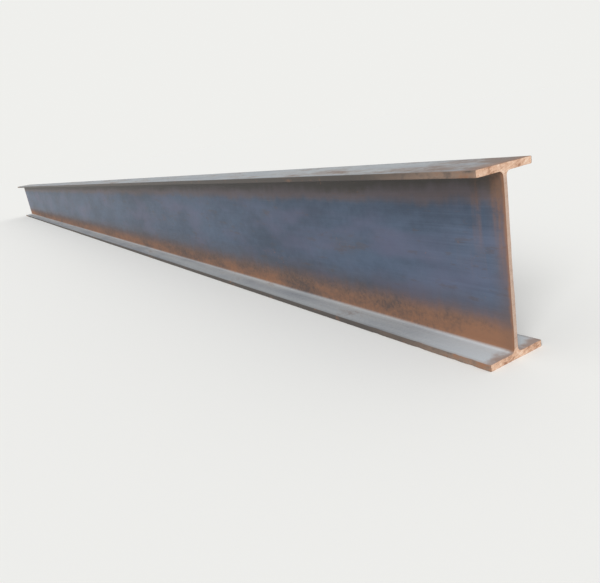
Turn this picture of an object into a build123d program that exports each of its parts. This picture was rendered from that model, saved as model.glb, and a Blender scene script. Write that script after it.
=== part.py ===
"""Hot-rolled steel h-beam, 305 x 127 mm at 37 kg per metre, in a 6 m stock length, sawn square at both ends."""

import os

from build123d import *

# Driving dimensions, in millimetres.
beam_length = 6000.0  # short stock length
beam_depth = 304.4  # over both flanges
flange_width = 123.4  # from toe to toe
flange_thickness = 10.7  # the same from web to toe
web_thickness = 7.1  # between the two side channels
root_radius = 8.9  # where web and flange meet
toe_radius = 1.6  # rolled rounding along each flange's four long edges

# The beam stands on its lower flange with its web upright. The section is drawn across the beam's middle
# and carried half the length each way, so the origin is under the middle and both ends are cut square.
with BuildPart() as h_beam:
    with BuildSketch(Plane.YZ) as section:
        with Locations((0, beam_depth / 2)):
            Rectangle(web_thickness, beam_depth - flange_thickness)
        with Locations((0, flange_thickness / 2), (0, beam_depth - flange_thickness / 2)):
            Rectangle(flange_width, flange_thickness)
        # The corners stand in four upright rows: two of toes outside, and two of roots beside the web.
        rows = section.vertices().group_by(Axis.X)
        fillet(rows[1] + rows[-2], radius=root_radius)
        rows = section.vertices().group_by(Axis.X)
        fillet(rows[0] + rows[-1], radius=toe_radius)
    extrude(amount=beam_length / 2, both=True)
h_beam.part.label = "h_beam"

os.makedirs("parts", exist_ok=True)
export_step(h_beam.part, "parts/h_beam.step")
print("section area, square millimetres:", round(section.sketch.area, 1))
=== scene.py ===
"""A hot-rolled steel h-beam with mill scale, yard rust and sawn ends, and the plain studio it stands in."""

import math

import bpy
import numpy as np
from bpy.props import FloatProperty, FloatVectorProperty, IntProperty, PointerProperty
from mathutils import Matrix, Vector


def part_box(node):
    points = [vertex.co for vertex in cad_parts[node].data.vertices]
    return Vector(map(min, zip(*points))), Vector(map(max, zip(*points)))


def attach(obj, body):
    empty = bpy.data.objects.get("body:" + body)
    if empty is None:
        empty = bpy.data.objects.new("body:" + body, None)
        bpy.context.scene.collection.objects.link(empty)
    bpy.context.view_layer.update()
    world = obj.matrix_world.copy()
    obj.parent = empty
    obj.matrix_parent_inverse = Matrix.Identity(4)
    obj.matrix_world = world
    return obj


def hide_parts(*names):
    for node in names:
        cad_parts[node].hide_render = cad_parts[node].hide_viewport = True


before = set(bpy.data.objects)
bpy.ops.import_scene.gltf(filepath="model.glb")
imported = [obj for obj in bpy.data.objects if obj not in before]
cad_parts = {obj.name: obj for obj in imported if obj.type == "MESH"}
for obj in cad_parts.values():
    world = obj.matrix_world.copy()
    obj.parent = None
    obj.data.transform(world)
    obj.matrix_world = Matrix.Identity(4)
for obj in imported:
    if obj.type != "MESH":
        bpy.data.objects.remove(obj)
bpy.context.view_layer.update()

bl_info = {
    "name": "Steel H-Beam",
    "version": (1, 0, 0),
    "blender": (4, 5, 0),
    "location": "3D Viewport > Sidebar > H-Beam",
    "description": "Rolls a weathered steel h-beam around its frame and sets its studio",
    "category": "Add Mesh",
}

NODE = "h_beam"
PIECE = "rolled_beam"
MM = 0.001
WELD = 1e-7

LOW, HIGH = (np.array(corner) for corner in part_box(NODE))
LENGTH, WIDTH, DEPTH = (float(side) for side in HIGH - LOW)


def size(name, description, default):
    """A length in metres that the sidebar shows."""
    return FloatProperty(name=name, description=description, default=default, min=0, unit="LENGTH")


def share(name, description, default):
    """A share from 0 to 1."""
    return FloatProperty(name=name, description=description, default=default, min=0, max=1,
                         subtype="FACTOR")


def turn(name, description, default):
    """An angle, given in degrees."""
    return FloatProperty(name=name, description=description, default=math.radians(default), subtype="ANGLE")


def colour(name, description, default):
    """A colour as a screen shows it."""
    return FloatVectorProperty(name=name, description=description, default=default, size=3, min=0, max=1,
                               subtype="COLOR_GAMMA")


class BeamForm(bpy.types.PropertyGroup):
    """Sizes of the section, and how far the real surface wanders from it"""

    web_thickness: size("Web thickness", "Plate between the two channels", 7.1 * MM)
    flange_thickness: size("Flange thickness", "The same from web to toe", 10.7 * MM)
    root_radius: size("Root radius", "Fillet where web and flange meet", 8.9 * MM)
    toe_radius: size("Toe radius", "Rounding along each flange's long edges", 1.6 * MM)
    stations: IntProperty(name="Stations", description="Sections along the beam, closer near its ends",
                          default=440, min=8)
    web_wave: size("Web wave", "About how far the web swings from flat", 0.5 * MM)
    flange_wave: size("Flange wave", "Most that a flange moves towards the web's middle", 0.4 * MM)
    toe_wear: size("Toe wear", "About how far a flange's edge draws back between its nicks", 0.4 * MM)
    nick_depth: size("Nick depth", "Deepest knock in a flange's edge", 1.3 * MM)
    nicks: IntProperty(name="Nicks", description="Knocks in each flange edge near each end",
                       default=5, min=0)
    corner_radius: size("Corner radius", "Knocked corner where a flange's edge meets an end", 2.5 * MM)
    cut_wander: size("Cut wander", "Most that a sawn end is uneven", 0.7 * MM)
    burr: size("Burr", "Highest lip that the saw leaves round the cut", 0.6 * MM)


class BeamFinish(bpy.types.PropertyGroup):
    """Colours of the scale, rust and dust, with painted light near the ends and painted shade under the
    upper flange, and where they lie
    """

    scale_dark: colour("Dark scale", "Darkest mill scale on the web", (0.22, 0.27, 0.34))
    scale_mid: colour("Mill scale", "Mill scale over most of the web", (0.305, 0.365, 0.45))
    # Paler scale and painted light together: the web is made lighter near the ends partly because of how
    # light falls there.
    pale_scale_and_painted_light: colour("Light scale", "Mill scale near the ends", (0.375, 0.425, 0.515))
    scale_violet: colour("Violet scale", "Patches where the scale turns violet", (0.36, 0.36, 0.45))
    scuff: colour("Scuff", "Pale scratches along the web", (0.50, 0.52, 0.57))
    rust_dark: colour("Dark rust", "Old brown rust", (0.32, 0.27, 0.25))
    rust_brown: colour("Brown rust", "Rust band low on the web", (0.43, 0.335, 0.28))
    rust_orange: colour("Orange rust", "Fresh rust by the ends", (0.545, 0.385, 0.28))
    dust: colour("Dust", "Pale dust on the flanges", (0.67, 0.69, 0.70))
    pale_dust: colour("Pale dust", "Dust on the lower flange by the cuts", (0.80, 0.83, 0.85))
    dusty_scale: colour("Dusty scale", "Scale that shows through the dust", (0.54, 0.56, 0.59))
    edge: colour("Flange edge", "Grey-brown long edges", (0.29, 0.27, 0.255))
    # This colour is also laid over the top of the web as a band of painted shade under the upper flange,
    # mixed with brown dirt.
    soffit: colour("Soffit", "Brown underside of the top flange and the band below it", (0.265, 0.25, 0.235))
    sawn: colour("Sawn steel", "Light rust on the cut", (0.82, 0.67, 0.565))
    sawn_pale: colour("Pale sawn steel", "Palest places on the cut", (0.91, 0.82, 0.74))
    sawn_dark: colour("Dark sawn steel", "Darkest places on the cut", (0.60, 0.43, 0.33))
    sawn_web: colour("Sawn web", "Cut through the web", (0.67, 0.59, 0.54))
    rust_band: share("Rust band", "Share of the depth under the low rust's upper edge", 0.20)
    # The dark band is painted shade from the upper flange, with brown dirt in it.
    shade_band: share("Shade band", "Share of the depth under the dark band's lower edge", 0.90)
    rust_margin: size("Rust margin", "Orange margin beside each cut", 6 * MM)
    scale_metal: share("Scale metal", "How metallic clean scale is", 0.30)
    scale_roughness: share("Scale roughness", "Roughness of clean scale", 0.50)
    rust_roughness: share("Rust roughness", "Roughness of rust and dust", 0.84)
    relief: size("Relief", "Height of the bumps of rust, streaks and saw marks", 0.5 * MM)
    saw_slant: turn("Saw slant", "Of the saw marks on the cut from level", 17.0)


class StageForm(bpy.types.PropertyGroup):
    """The camera's place and the studio's levels"""

    sight_azimuth: turn("Sight azimuth", "From straight across the beam towards its far end", 39.2)
    sight_fall: turn("Sight fall", "How far the camera looks down on the near end", 16.0)
    distance: size("Distance", "From the camera to the middle of the near end", 0.9)
    field: turn("Field", "Width of the view", 56.0)
    aim_turn: turn("Aim turn", "From the near end to the middle of the view, along the beam", 21.5)
    aim_lift: turn("Aim lift", "From the near end up to the middle of the view", 0.0)
    roll: turn("Roll", "Turn of the camera about its sight line", -10.0)
    world_level: FloatProperty(name="World level", description="Light from all round", default=0.63, min=0)
    key_level: FloatProperty(name="Key level", description="Strength of the soft sun", default=2.3, min=0)
    key_azimuth: turn("Key azimuth", "From straight in front of the web towards the near end", 40.0)
    key_height: turn("Key height", "Of the sun over the floor", 32.0)
    key_spread: turn("Key spread", "How broad and soft the sun is", 35.0)
    floor: colour("Floor", "Pale floor", (0.93, 0.93, 0.92))
    backdrop: colour("Backdrop", "What the camera sees past the floor", (0.938, 0.938, 0.927))


def weld(blocks):
    """Stacks blocks of points and quads, and merges the points that round to the same multiple of WELD, in
    metres, so that the shell closes."""
    points, quads, start = [], [], 0
    for block_points, block_quads in blocks:
        points.append(block_points)
        quads.append(block_quads + start)
        start += len(block_points)
    points, quads = np.concatenate(points), np.concatenate(quads)
    keys = np.round(points / WELD).astype(np.int64)
    _, first, index = np.unique(keys, axis=0, return_index=True, return_inverse=True)
    return points[first], index.reshape(-1)[quads]


def grid_quads(rows, columns, closed=False):
    """Quads of a grid of rows by columns of points. A closed grid joins its last column to its first."""
    row, column = np.meshgrid(np.arange(rows - 1), np.arange(columns - (not closed)), indexing="ij")
    after = (column + 1) % columns
    corners = (row * columns + column, row * columns + after,
               (row + 1) * columns + after, (row + 1) * columns + column)
    return np.stack(corners, axis=-1).reshape(-1, 4)


def flange_columns(form, web_steps, arc_steps=4, root_steps=6, flat_steps=7):
    """Columns across the lower flange: their y, and the heights of its outer and its inner face.

    A toe is a quarter turn, y = edge + r (1 - cos t), with both faces r (1 - sin t) inside their planes. A
    root is a quarter turn the other way, y = root + R sin t, with the inner face R (1 - cos t) above its
    plane."""
    half, web, toe, root = WIDTH / 2, form.web_thickness / 2, form.toe_radius, form.root_radius
    quarter = np.linspace(0, math.pi / 2, arc_steps + 1)
    bend = np.linspace(0, math.pi / 2, root_steps + 1)[1:]
    toe_y = -half + toe * (1 - np.cos(quarter))
    toe_rise = toe * (1 - np.sin(quarter))
    flat_y = np.linspace(toe_y[-1], -web - root, flat_steps + 1)[1:]
    root_y = -web - root + root * np.sin(bend)
    root_rise = root * (1 - np.cos(bend))
    y = np.concatenate([toe_y, flat_y, root_y])
    outer = np.concatenate([toe_rise, np.zeros(flat_steps + root_steps)])
    inner = form.flange_thickness + np.concatenate([-toe_rise, np.zeros(flat_steps), root_rise])
    middle = np.linspace(-web, web, web_steps + 1)[1:-1]
    y = np.concatenate([y, middle, -y[::-1]])
    outer = np.concatenate([outer, np.zeros(web_steps - 1), outer[::-1]])
    inner = np.concatenate([inner, np.full(web_steps - 1, inner[-1]), inner[::-1]])
    return y, outer, inner


def section(form, cut_rows=6, web_rows=16, web_steps=4):
    """The section as three grids of (y, z) points, for lower flange, web and upper flange, and its outline.

    A flange's grid goes evenly from one face to the other. The outline starts on the underside at -Y, and
    runs counter-clockwise as seen from +X."""
    y, outer, inner = flange_columns(form, web_steps)
    rise = np.linspace(0, 1, cut_rows + 1)[:, None]
    lower = np.stack([np.broadcast_to(y, (cut_rows + 1, len(y))), outer + (inner - outer) * rise], axis=-1)
    upper = lower[::-1] * [1, -1] + [0, DEPTH]
    left = (len(y) - 1 - web_steps) // 2
    right = left + web_steps
    web_z = np.linspace(inner[left], DEPTH - inner[left], web_rows + 1)
    web = np.stack(np.meshgrid(y[left:right + 1], web_z), axis=-1)
    outline = np.concatenate([
        lower[0],
        lower[1:, -1],
        lower[-1, right:-1][::-1],
        web[1:-1, -1],
        upper[0, right:-1],
        upper[:-1, -1],
        upper[-1, ::-1],
        upper[-2::-1, 0],
        upper[0, 1:left + 1],
        web[-2:0:-1, 0],
        lower[-1, 1:left + 1][::-1],
        lower[:0:-1, 0],
    ])
    return (lower, web, upper), outline


def places_along(form, crowding=2.64):
    """The sections' places: x = (L / 2) tanh(k s) / tanh(k) for s from -1 to 1. They crowd at the ends."""
    s = np.linspace(-1, 1, form.stations)
    return LENGTH / 2 * np.tanh(crowding * s) / math.tanh(crowding)


def beam_shell(form):
    """The outline carried along the beam, as x by outline point, closed by the grids of both ends.

    Returns the points, the quads and how many of the quads are skin. The rest are the sawn ends."""
    grids, outline = section(form)
    along = places_along(form)
    tube = np.empty((len(along), len(outline), 3))
    tube[..., 0] = along[:, None]
    tube[..., 1:] = outline
    skin = grid_quads(len(along), len(outline), closed=True)
    blocks = [(tube.reshape(-1, 3), skin)]
    for end in (1, -1):
        for grid in grids:
            flat = grid.reshape(-1, 2)
            points = np.column_stack([np.full(len(flat), end * LENGTH / 2), flat])
            blocks.append((points, grid_quads(*grid.shape[:2])[:, ::end]))
    points, quads = weld(blocks)
    return points, quads, len(skin)


def wander(points, lengths, seed, count=20):
    """A smooth seeded field, mostly within -2 to 2: a sum of cosines over the root of their number, with
    random phases and random wave vectors of about 2 pi / length."""
    draw = np.random.default_rng(seed)
    waves = draw.normal(size=(count, 3)) * 2 * math.pi / np.array(lengths)
    phases = draw.uniform(0, 2 * math.pi, count)
    return np.cos(points @ waves.T + phases).sum(axis=1) / math.sqrt(count)


def ramp(values, low, high):
    """0 under low and 1 over high, with a smooth step 3 t^2 - 2 t^3 between."""
    t = np.clip((values - low) / (high - low), 0, 1)
    return t * t * (3 - 2 * t)


def skin_normals(points, quads):
    """At each point, the mean direction that its quads face, each along the cross product of its diagonals,
    or zero where a point is in none of them."""
    corners = points[quads]
    facing = np.cross(corners[:, 2] - corners[:, 0], corners[:, 3] - corners[:, 1])
    facing /= np.linalg.norm(facing, axis=1, keepdims=True)
    normals = np.zeros_like(points)
    for corner in quads.T:
        np.add.at(normals, corner, facing)
    lengths = np.linalg.norm(normals, axis=1, keepdims=True)
    return normals / np.maximum(lengths, 1e-9)


def nick_profile(along, form, seed):
    """How deep the knocks go at each x: a sum of bells d exp(-((x - c) / w)^2), whose middles crowd at the
    two ends. The further in a bell is, the wider it is."""
    draw = np.random.default_rng(seed)
    depth = np.zeros_like(along)
    reach, crowding = 300 * MM, 1.5
    narrow, wide, widening = 2.5 * MM, 7 * MM, 0.02
    shallowest = 0.2
    for end in (-1, 1):
        for _ in range(form.nicks):
            inward = reach * draw.uniform() ** crowding
            centre = end * (LENGTH / 2 - inward)
            width = draw.uniform(narrow, wide) + inward * widening
            deepest = form.nick_depth * draw.uniform(shallowest, 1)
            depth += deepest * np.exp(-(((along - centre) / width) ** 2))
    return depth


def worn(points, normals, form, edge_reach=5 * MM, cut_reach=8 * MM, lip_reach=1.6 * MM):
    """The points moved as a rolled, sawn and handled beam's are, and kept inside the true section's box. The
    reaches say how far in an edge's wear, a cut's unevenness and the saw's lip go."""
    x, y, z = points.T
    to_end = LENGTH / 2 - np.abs(x)
    side, upper = np.sign(y), z > DEPTH / 2
    flange = form.flange_thickness
    endless = 1e3
    moved = points.copy()

    # The web swings sideways by a smooth field, and is held where it meets the flanges.
    on_web = ramp(z, flange, 4 * flange) * ramp(DEPTH - z, flange, 4 * flange)
    moved[:, 1] += form.web_wave * on_web * wander(points, (1.1, 1, 0.22), seed=3)

    # Each flange, and the web beside it, moves towards the middle of the depth by another field.
    drawn_back = form.flange_wave * (0.5 + 0.4 * wander(points, (0.8, 0.16, 1), seed=5)).clip(0, 1)
    on_flange = ramp(np.abs(z - DEPTH / 2), DEPTH / 8, DEPTH / 3)
    moved[:, 2] += drawn_back * on_flange * np.where(upper, -1, 1)

    # The long edges move towards the web by their wear, their knocks, and r - sqrt(r^2 - (r - d)^2) at a
    # distance d under r from an end, which rounds the corner.
    edge_zone = ramp(np.abs(y), WIDTH / 2 - edge_reach, WIDTH / 2 - form.toe_radius / 2)
    corner = form.corner_radius
    knocked = corner - np.sqrt(corner**2 - np.clip(corner - to_end, 0, corner) ** 2)
    worn_back = form.toe_wear * (0.5 + 0.35 * wander(points, (0.09, 1, 0.05), seed=7)
                                 + 0.25 * wander(points, (0.02, 1, 0.02), seed=8)).clip(0, 1.2)
    for seed, (this_side, this_upper) in enumerate([(1, True), (1, False), (-1, True), (-1, False)]):
        here = (side == this_side) & (upper == this_upper)
        worn_back[here] += nick_profile(x[here], form, seed=20 + seed)
    moved[:, 1] -= side * edge_zone * (worn_back + knocked)

    # A cut moves inwards by a field whose waves are endless along x, and which fades as exp(-d / reach).
    uneven = form.cut_wander * (0.45 + 0.35 * wander(points, (endless, 0.06, 0.09), seed=11)).clip(0, 1)
    moved[:, 0] -= np.sign(x) * uneven * np.exp(-to_end / cut_reach)

    # The lip stands out along the skin's normal by another, and fades as exp(-(d / reach)^2).
    ragged = (0.25 + 0.6 * wander(points, (endless, 0.012, 0.014), seed=13)).clip(0, 1)
    lip = form.burr * ragged * np.exp(-((to_end / lip_reach) ** 2))
    moved += normals * lip[:, None]
    return moved.clip(LOW, HIGH)


def zones(points, normals, form):
    """Shares from 0 to 1 of the places that weather alike, by name. Only the skin's points have a normal, so
    those of them that lie in the plane of a cut are its rim."""
    x, y, z = points.T
    half, toe, middle = WIDTH / 2, form.toe_radius, form.flange_thickness / 2
    low, facing_up = z < DEPTH / 2, normals[:, 2]
    inside = (z > middle) & (z < DEPTH - middle)
    at_cut = np.abs(x) > LENGTH / 2 - 0.01 * MM
    return {
        "rim": at_cut & (np.abs(normals).sum(axis=1) > 0.5),
        "ledge": np.where(inside & low, ramp(facing_up, 0.5, 0.98), 0),
        "soffit": np.where(inside & ~low, ramp(-facing_up, 0.2, 0.9), 0),
        "edge": ramp(np.abs(y), half - 1.5 * toe, half - 0.3 * toe),
        "outer": np.where(inside, 0, ramp(np.abs(facing_up), 0.3, 0.95)),
    }


class Graph:
    """The nodes of one material, added and joined by short calls that give back a socket. Each value that
    they take may be a socket or plain."""

    def __init__(self, name):
        self.material = bpy.data.materials.new(name)
        self.material.use_nodes = True
        self.tree = self.material.node_tree
        self.shader = self.tree.nodes["Principled BSDF"]
        self.place = self.tree.nodes.new("ShaderNodeTexCoord").outputs["Object"]

    def put(self, socket, value):
        """Joins another node's socket to this one, or sets a plain value on it."""
        if isinstance(value, bpy.types.NodeSocket):
            self.tree.links.new(value, socket)
        else:
            socket.default_value = value

    def add(self, kind, values, output=0, **settings):
        """A new node with its settings and input values. Gives the output of that number."""
        node = self.tree.nodes.new(kind)
        for name, value in settings.items():
            setattr(node, name, value)
        for key, value in values.items():
            self.put(node.inputs[key], value)
        return node.outputs[output]

    def maths(self, operation, first, second=0.0):
        """One operation on one or two values."""
        return self.add("ShaderNodeMath", {0: first, 1: second}, operation=operation)

    def sum(self, *terms):
        """All terms added up."""
        total = terms[0]
        for term in terms[1:]:
            total = self.maths("ADD", total, term)
        return total

    def times(self, *terms):
        """All terms multiplied."""
        product = terms[0]
        for term in terms[1:]:
            product = self.maths("MULTIPLY", product, term)
        return product

    def mix(self, terms, offset=0.0):
        """The sum of each noise times its weight, plus an offset."""
        return self.sum(*(self.times(noise, weight) for noise, weight in terms), offset)

    def step(self, value, low, high):
        """0 where the value is at low and 1 where it is at high, with a smooth step between. Low may be the
        larger of the two."""
        return self.add("ShaderNodeMapRange", {"Value": value, "From Min": low, "From Max": high},
                        interpolation_type="SMOOTHSTEP")

    def blend(self, amount, first, second):
        """The first colour where the amount is 0, and the second where it is 1."""
        return self.add("ShaderNodeMix", {0: amount, 6: first, 7: second}, output=2, data_type="RGBA")

    def noise(self, per_metre, seed, detail=3.0, roughness=0.55, turned=0.0):
        """Seeded noise about 0.5 with so many features to a metre along x, y and z, turned about x."""
        spread = self.add("ShaderNodeMapping", {"Vector": self.place, "Rotation": (turned, 0, 0),
                                                "Scale": [1 / count for count in per_metre]},
                          vector_type="TEXTURE")
        return self.add("ShaderNodeTexNoise", {"Vector": spread, "W": float(seed), "Scale": 1.0,
                                               "Detail": detail, "Roughness": roughness},
                        noise_dimensions="4D")

    def attribute(self, name):
        """A share that the mesh stores at its points."""
        return self.add("ShaderNodeAttribute", {}, output=2, attribute_name=name)

    def axes(self):
        """Object coordinates as three sockets."""
        split = self.tree.nodes.new("ShaderNodeSeparateXYZ")
        self.put(split.inputs[0], self.place)
        return split.outputs

    def bump(self, height, strength, distance):
        """The normal of a surface raised by the height times the distance, in metres."""
        return self.add("ShaderNodeBump", {"Height": height, "Strength": strength, "Distance": distance})

    def finish(self, base, roughness, normal):
        """Joins what the shader needs, and gives the material."""
        self.put(self.shader.inputs["Base Color"], base)
        self.put(self.shader.inputs["Roughness"], roughness)
        self.put(self.shader.inputs["Normal"], normal)
        return self.material


def linear(shown):
    """A screen's colour as linear red, green, blue and alpha: ((c + 0.055) / 1.055) ^ 2.4 for each c over
    0.04045, and c / 12.92 for the others."""
    values = [c / 12.92 if c <= 0.04045 else ((c + 0.055) / 1.055) ** 2.4 for c in shown]
    return (*values, 1.0)


class Skin(Graph):
    """The rolled skin's graph, with the places and noises that its layers share.

    A step on to_end, or on a sum with it, is in metres from the nearer cut. A step on height or level is a
    share of the depth, and any other is a level of noise, which lies around 0.5."""

    def __init__(self, finish):
        super().__init__("rolled_skin")
        self.looks = finish
        x, _, z = self.axes()
        self.to_end = self.maths("SUBTRACT", LENGTH / 2, self.maths("ABSOLUTE", x))
        self.height = self.maths("DIVIDE", z, DEPTH)
        self.fine = self.noise((2.2, 260, 260), 1, detail=3)
        self.streak = self.noise((0.8, 34, 34), 2, detail=4, roughness=0.6)
        self.cloud = self.noise((2.4, 6, 6), 3, detail=4, roughness=0.6)
        self.drift = self.noise((6, 16, 16), 4, detail=4, roughness=0.6)
        self.mottle = self.noise((60, 75, 75), 5, detail=4, roughness=0.6)
        self.crust = self.noise((170, 170, 170), 7, detail=4, roughness=0.7)
        self.grain = self.noise((420, 420, 420), 6, detail=3, roughness=0.7)
        self.drips = self.noise((36, 36, 2.2), 8, detail=3, roughness=0.55)
        self.ragged_end = self.mix([(self.drift, 0.08), (self.mottle, 0.045)], self.to_end)

    def shade(self, name):
        """A colour of the finish, by its property's name."""
        return linear(getattr(self.looks, name))

    def scale(self):
        """Mill scale: dark to mid slate in clouds, violet in patches and paler near the ends, where paler
        scale is mixed with painted light, with pale scuffs along the beam and brown specks where it has
        chipped."""
        tone = self.mix([(self.cloud, 0.9), (self.fine, 0.14), (self.grain, 0.25), (self.mottle, 0.25)])
        base = self.blend(self.step(tone, 0.58, 0.96), self.shade("scale_dark"), self.shade("scale_mid"))
        violet = self.step(self.noise((3.0, 9, 9), 9, detail=3), 0.46, 0.66)
        base = self.blend(self.times(violet, 0.6), base, self.shade("scale_violet"))
        # Painted light: near each end the scale is blended paler, partly as paler scale and partly standing
        # in for the light that falls on the web there.
        near = self.step(self.mix([(self.cloud, 0.3)], self.to_end), 0.50, 0.16)
        pale = self.step(self.mix([(self.cloud, 0.6), (self.fine, 0.12)]), 0.23, 0.50)
        base = self.blend(self.times(near, pale, 0.85), base, self.shade("pale_scale_and_painted_light"))
        lines = self.step(self.noise((4, 420, 420), 10, detail=1), 0.66, 0.74)
        scuffed = self.times(lines, self.step(self.drift, 0.48, 0.62), 0.25)
        base = self.blend(scuffed, base, self.shade("scuff"))
        chips = self.noise((18, 75, 75), 15, detail=6, roughness=0.68)
        chipped = self.step(self.mix([(chips, 0.75), (self.drift, 0.25)]), 0.56, 0.60)
        return self.blend(self.times(chipped, 0.32), base, self.shade("rust_dark"))

    def rust(self):
        """Rust: dark to brown in mottles, and orange in patches that gather low down and near the ends."""
        tone = self.mix([(self.mottle, 0.30), (self.drift, 0.35), (self.crust, 0.35)])
        brown = self.blend(self.step(tone, 0.36, 0.60), self.shade("rust_dark"), self.shade("rust_brown"))
        lower = self.step(self.height, self.looks.rust_band, 0.04)
        ended = self.step(self.to_end, 0.50, 0.02)
        patchy = self.mix([(self.drift, 0.6), (self.mottle, 0.2), (self.crust, 0.35)])
        fresh = self.mix([(lower, 0.12), (ended, 0.18)], patchy)
        return self.blend(self.step(fresh, 0.52, 0.88), brown, self.shade("rust_orange"))

    def run_marks(self):
        """Rusty water marks down the web, where the drips' noise is high: strong near the ends and rare
        between them, each fading out at its own height."""
        near = self.step(self.mix([(self.drift, 0.12)], self.to_end), 0.21, 0.07)
        rare = self.times(self.step(self.cloud, 0.56, 0.70), 0.40)
        fall = self.step(self.mix([(self.drift, 0.7)], self.height), 0.62, 1.10)
        drip = self.times(self.step(self.drips, 0.54, 0.72), self.step(self.mottle, 0.25, 0.50))
        return self.times(drip, self.maths("MAXIMUM", near, rare), fall, 0.55)

    def web(self):
        """The web: scale, the dark band at its top, which is brown dirt and painted shade under the upper
        flange, and the rust band at its foot, each with a brown veil beside it, and rust beside the cut. The
        average of the noises that make a boundary ragged is taken off again, so it lies about where its
        property says. Gives the colour, and how much of it is rust."""
        foot, top, margin = self.looks.rust_band, self.looks.shade_band, self.looks.rust_margin
        ragged = self.mix([(self.drift, 0.13), (self.drips, 0.08), (self.streak, 0.04), (self.mottle, 0.02)])
        level = self.sum(self.height, ragged, -0.135)
        low_veil = self.step(level, foot + 0.18, foot - 0.02)
        high_veil = self.step(level, top - 0.13, top - 0.05)
        low_band = self.step(level, foot + 0.07, foot - 0.08)
        # Painted shade with brown dirt: the band where the upper flange shades the top of the web.
        brown_and_painted_shade_band = self.step(level, top - 0.06, top + 0.015)
        jitter = self.mix([(self.mottle, 9 * MM), (self.drift, 14 * MM), (self.drips, 8 * MM)], -15 * MM)
        by_cut = self.sum(self.to_end, jitter)
        orange = self.step(by_cut, margin * 1.6, margin * 0.4)
        tinge = self.step(by_cut, margin * 7, 0.0)
        from_corner = self.sum(by_cut, self.times(self.maths("SUBTRACT", 1.0, self.height), DEPTH / 2))
        corner = self.step(from_corner, margin * 12, margin * 3)
        haze = self.step(self.mix([(self.cloud, 0.5), (self.drift, 0.5)]), 0.52, 0.70)
        specks = self.step(self.mix([(self.crust, 0.6), (self.drift, 0.4)]), 0.60, 0.67)
        marks = self.run_marks()
        rust = self.rust()
        veil = self.maths("MAXIMUM", self.times(low_veil, 0.5), self.times(haze, 0.3))
        beside = self.maths("MAXIMUM", corner, tinge)
        base = self.blend(veil, self.scale(), self.shade("rust_dark"))
        base = self.blend(self.times(high_veil, 0.5), base, self.shade("rust_brown"))
        # Painted shade with brown dirt: the soffit's dark brown is laid over the top of the web under the
        # flange.
        base = self.blend(self.times(brown_and_painted_shade_band, 0.92), base, self.shade("soffit"))
        base = self.blend(self.times(low_band, 0.92), base, rust)
        base = self.blend(self.times(beside, 0.40), base, self.shade("rust_brown"))
        base = self.blend(self.maths("MAXIMUM", marks, self.times(specks, 0.45)), base, rust)
        base = self.blend(self.times(orange, 0.75), base, self.shade("rust_orange"))
        return base, self.maths("MAXIMUM", low_band, self.maths("MAXIMUM", orange, marks))

    def soffit(self):
        """The upper flange's inner face: dark brown, with lighter rust where the cut is near."""
        near = self.step(self.ragged_end, 0.14, 0.06)
        return self.blend(self.times(near, 0.6), self.shade("soffit"), self.rust())

    def dusty(self):
        """Dust over scale, thicker in some streaks than in others, with crumbs of rust."""
        amount = self.mix([(self.streak, 0.45), (self.drift, 0.3), (self.crust, 0.25)])
        base = self.blend(self.step(amount, 0.37, 0.60), self.shade("dusty_scale"), self.shade("dust"))
        crumbs = self.step(self.mix([(self.crust, 0.7), (self.drift, 0.3)]), 0.56, 0.66)
        return self.blend(self.times(crumbs, 0.45), base, self.shade("rust_brown"))

    def ledge(self):
        """The lower flange's inner face: dust with brown patches, paler near the cut, orange beside it."""
        patch = self.step(self.mix([(self.drift, 0.7), (self.mottle, 0.3)]), 0.56, 0.68)
        near, nearest = self.step(self.ragged_end, 0.32, 0.08), self.step(self.ragged_end, 0.09, 0.065)
        base = self.blend(self.times(near, 0.75), self.dusty(), self.shade("pale_dust"))
        base = self.blend(self.times(patch, 0.45), base, self.shade("rust_brown"))
        return self.blend(self.times(nearest, 0.7), base, self.shade("rust_orange"))

    def outer(self):
        """The outer faces: dust and scale, with rust in patches that gather near the ends, and an orange rim
        beside the cuts."""
        gather = self.step(self.to_end, 0.30, 0.02)
        amount = self.mix([(self.drift, 0.6), (self.mottle, 0.25), (self.streak, 0.25), (gather, 0.10)])
        patch, nearest = self.step(amount, 0.52, 0.70), self.step(self.ragged_end, 0.10, 0.06)
        base = self.blend(self.times(patch, 0.8), self.dusty(), self.shade("rust_brown"))
        return self.blend(self.times(nearest, 0.6), base, self.shade("rust_orange"))

    def edge(self):
        """The long edges: grey-brown, worn to tan near the ends, with rust in spots that gather there."""
        gather = self.step(self.to_end, 0.12, 0.01)
        worn = self.step(self.mix([(self.drift, 0.30), (self.mottle, 0.15)], self.to_end), 0.52, 0.18)
        broken = self.step(self.mix([(self.mottle, 0.5), (self.streak, 0.5)]), 0.34, 0.54)
        base = self.blend(self.times(worn, broken, 0.35), self.shade("edge"), self.shade("sawn"))
        amount = self.mix([(self.mottle, 0.6), (self.drift, 0.4), (gather, 0.10)])
        return self.blend(self.times(self.step(amount, 0.53, 0.70), 0.8), base, self.rust())


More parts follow.
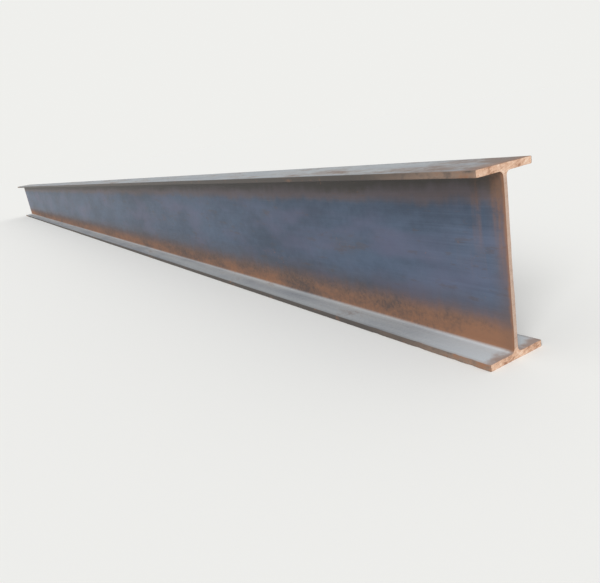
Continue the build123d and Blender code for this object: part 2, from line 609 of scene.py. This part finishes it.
def rolled_skin(finish):
    """Each zone's own colour, with a rougher surface and a stronger relief where there is rust or dust."""
    g = Skin(finish)
    base, rusty = g.web()
    base = g.blend(g.times(g.attribute("ledge"), 0.95), base, g.ledge())
    base = g.blend(g.times(g.attribute("soffit"), 0.85), base, g.soffit())
    base = g.blend(g.attribute("outer"), base, g.outer())
    base = g.blend(g.attribute("edge"), base, g.edge())
    dusty = g.times(g.maths("MAXIMUM", g.attribute("ledge"), g.attribute("outer")), 0.8)
    rough = g.maths("MAXIMUM", rusty, dusty)
    coarse = finish.rust_roughness - finish.scale_roughness
    roughness = g.mix([(rough, coarse), (g.grain, 0.10)], finish.scale_roughness - 0.05)
    metal = g.times(g.maths("SUBTRACT", 1.0, rough), finish.scale_metal)
    crusted = g.times(g.mix([(g.mottle, 0.5), (g.crust, 0.8)]), g.sum(rough, 0.15))
    relief = g.mix([(g.fine, 0.13), (g.grain, 0.30), (crusted, 0.9)])
    g.put(g.shader.inputs["Metallic"], metal)
    return g.finish(base, roughness, g.bump(relief, 0.5, finish.relief))


def sawn_end(finish):
    """Light rust over saw marks, greyer where the cut goes through the web, and darker in patches of its
    rim."""
    g = Graph("sawn_end")
    _, y, z = g.axes()
    blotch = g.noise((50, 50, 50), 11, detail=4, roughness=0.6)
    speckle = g.noise((300, 300, 300), 12, detail=4, roughness=0.7)
    marks = g.noise((30, 22, 620), 13, detail=3, turned=finish.saw_slant)
    tone = g.mix([(blotch, 0.42), (speckle, 0.28), (marks, 0.30)])
    base = g.blend(g.step(tone, 0.40, 0.50), linear(finish.sawn_dark), linear(finish.sawn))
    base = g.blend(g.step(tone, 0.50, 0.60), base, linear(finish.sawn_pale))
    past_web, in_web = 9 * MM, 4 * MM
    in_flange, past_root = 12 * MM, 24 * MM
    at_web = g.step(g.maths("ABSOLUTE", y), past_web, in_web)
    over_lower = g.step(z, in_flange, past_root)
    under_upper = g.step(z, DEPTH - in_flange, DEPTH - past_root)
    base = g.blend(g.times(at_web, g.times(over_lower, under_upper), 0.7), base, linear(finish.sawn_web))
    rim = g.step(g.sum(g.attribute("rim"), g.times(blotch, 0.5)), 0.85, 1.25)
    base = g.blend(g.times(rim, 0.6), base, linear(finish.sawn_dark))
    relief = g.mix([(marks, 1.0), (speckle, 0.6)])
    roughness = g.mix([(speckle, 0.25)], 0.66)
    return g.finish(base, roughness, g.bump(relief, 0.7, finish.relief))


class RollBeam(bpy.types.Operator):
    """Carry the section along the beam, wear it, and give it its scale, rust and sawn ends"""

    bl_idname = "h_beam.roll_beam"
    bl_label = "Roll the Beam"

    def execute(self, context):
        form, finish = context.scene.h_beam_form, context.scene.h_beam_finish
        points, quads, skin_count = beam_shell(form)
        normals = skin_normals(points, quads[:skin_count])
        mesh = bpy.data.meshes.new(PIECE)
        mesh.from_pydata(worn(points, normals, form).tolist(), [], quads.tolist())
        if mesh.validate():
            raise RuntimeError("the beam's shell has faces that Blender can't keep")
        for name, values in zones(points, normals, form).items():
            mesh.attributes.new(name, "FLOAT", "POINT").data.foreach_set("value", np.float32(values))
        mesh.materials.append(rolled_skin(finish))
        mesh.materials.append(sawn_end(finish))
        is_cut = np.arange(len(quads)) >= skin_count
        mesh.polygons.foreach_set("material_index", is_cut.astype(np.int32))
        mesh.polygons.foreach_set("use_smooth", ~is_cut)
        piece = bpy.data.objects.new(PIECE, mesh)
        context.scene.collection.objects.link(piece)
        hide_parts(NODE)
        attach(piece, "root")
        return {"FINISHED"}


def sight(azimuth, fall):
    """The direction at an azimuth from +Y towards -X and a fall under level, as a unit vector."""
    level = math.cos(fall)
    return Vector((-math.sin(azimuth) * level, math.cos(azimuth) * level, -math.sin(fall)))


def add_key(scene, stage):
    """A broad soft sun in front of the web and past the near end."""
    data = bpy.data.lights.new("key", "SUN")
    data.energy, data.angle = stage.key_level, stage.key_spread
    lamp = bpy.data.objects.new("key", data)
    shining = sight(stage.key_azimuth, stage.key_height)
    lamp.matrix_world = shining.to_track_quat("-Z", "Y").to_matrix().to_4x4()
    scene.collection.objects.link(lamp)


def add_camera(scene, stage):
    """The camera on its sight line to the middle of the near end, then turned along the beam and rolled."""
    near = Vector((HIGH[0], 0, DEPTH / 2))
    place = near - sight(stage.sight_azimuth, stage.sight_fall) * stage.distance
    look = sight(stage.sight_azimuth + stage.aim_turn, stage.sight_fall - stage.aim_lift)
    data = bpy.data.cameras.new("camera")
    data.sensor_fit, data.angle = "HORIZONTAL", stage.field
    camera = bpy.data.objects.new("camera", data)
    facing = look.to_track_quat("-Z", "Y").to_matrix().to_4x4() @ Matrix.Rotation(stage.roll, 4, "Z")
    camera.matrix_world = Matrix.Translation(place) @ facing
    scene.collection.objects.link(camera)
    scene.camera = camera


def add_floor(scene, stage, half=60.0):
    """A flat pale floor without sheen, far wider than the beam is long."""
    mesh = bpy.data.meshes.new("floor")
    corners = [(-half, -half, 0), (half, -half, 0), (half, half, 0), (-half, half, 0)]
    mesh.from_pydata(corners, [], [(0, 1, 2, 3)])
    g = Graph("floor")
    g.put(g.shader.inputs["Base Color"], linear(stage.floor))
    g.shader.inputs["Roughness"].default_value = 0.9
    g.shader.inputs["Specular IOR Level"].default_value = 0.0
    mesh.materials.append(g.material)
    floor = bpy.data.objects.new("floor", mesh)
    scene.collection.objects.link(floor)


def add_world(scene, stage):
    """Even light from all round, with the backdrop's colour where the camera or a reflection sees past the
    floor."""
    world = bpy.data.worlds.new("studio")
    world.use_nodes = True
    tree = world.node_tree
    light = tree.nodes["Background"]
    light.inputs["Color"].default_value = (1, 1, 1, 1)
    light.inputs["Strength"].default_value = stage.world_level
    shown = tree.nodes.new("ShaderNodeBackground")
    shown.inputs["Color"].default_value = linear(stage.backdrop)
    path = tree.nodes.new("ShaderNodeLightPath")
    seen = path.outputs["Is Camera Ray"]
    for kind in ("Is Glossy Ray", "Is Transmission Ray"):
        either = tree.nodes.new("ShaderNodeMath")
        either.operation = "MAXIMUM"
        tree.links.new(seen, either.inputs[0])
        tree.links.new(path.outputs[kind], either.inputs[1])
        seen = either.outputs[0]
    choose = tree.nodes.new("ShaderNodeMixShader")
    tree.links.new(seen, choose.inputs[0])
    tree.links.new(light.outputs[0], choose.inputs[1])
    tree.links.new(shown.outputs[0], choose.inputs[2])
    tree.links.new(choose.outputs[0], tree.nodes["World Output"].inputs["Surface"])
    scene.world = world


class SetStage(bpy.types.Operator):
    """Lay the pale floor, set the soft light and place the camera at the photograph's angle"""

    bl_idname = "h_beam.set_stage"
    bl_label = "Set the Stage"

    def execute(self, context):
        scene, stage = context.scene, context.scene.h_beam_stage
        add_floor(scene, stage)
        add_world(scene, stage)
        add_key(scene, stage)
        add_camera(scene, stage)
        scene.view_settings.view_transform = "Standard"
        return {"FINISHED"}


class BeamPanel(bpy.types.Panel):
    """Lists the beam's two steps with their sizes and colours"""

    bl_idname = "VIEW3D_PT_h_beam"
    bl_label = "Steel H-Beam"
    bl_space_type = "VIEW_3D"
    bl_region_type = "UI"
    bl_category = "H-Beam"

    def draw(self, context):
        scene = context.scene
        steps = ((RollBeam, (scene.h_beam_form, scene.h_beam_finish)), (SetStage, (scene.h_beam_stage,)))
        for step, groups in steps:
            box = self.layout.box()
            box.operator(step.bl_idname)
            for group in groups:
                for name in group.__annotations__:
                    box.prop(group, name)


CLASSES = (BeamForm, BeamFinish, StageForm, RollBeam, SetStage, BeamPanel)
GROUPS = {"h_beam_form": BeamForm, "h_beam_finish": BeamFinish, "h_beam_stage": StageForm}


def register():
    for cls in CLASSES:
        bpy.utils.register_class(cls)
    for name, group in GROUPS.items():
        setattr(bpy.types.Scene, name, PointerProperty(type=group))


def unregister():
    for name in GROUPS:
        delattr(bpy.types.Scene, name)
    for cls in reversed(CLASSES):
        bpy.utils.unregister_class(cls)


def main():
    """Registers the classes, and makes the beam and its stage."""
    register()
    bpy.ops.h_beam.roll_beam()
    bpy.ops.h_beam.set_stage()


if __name__ == "__main__":
    main()
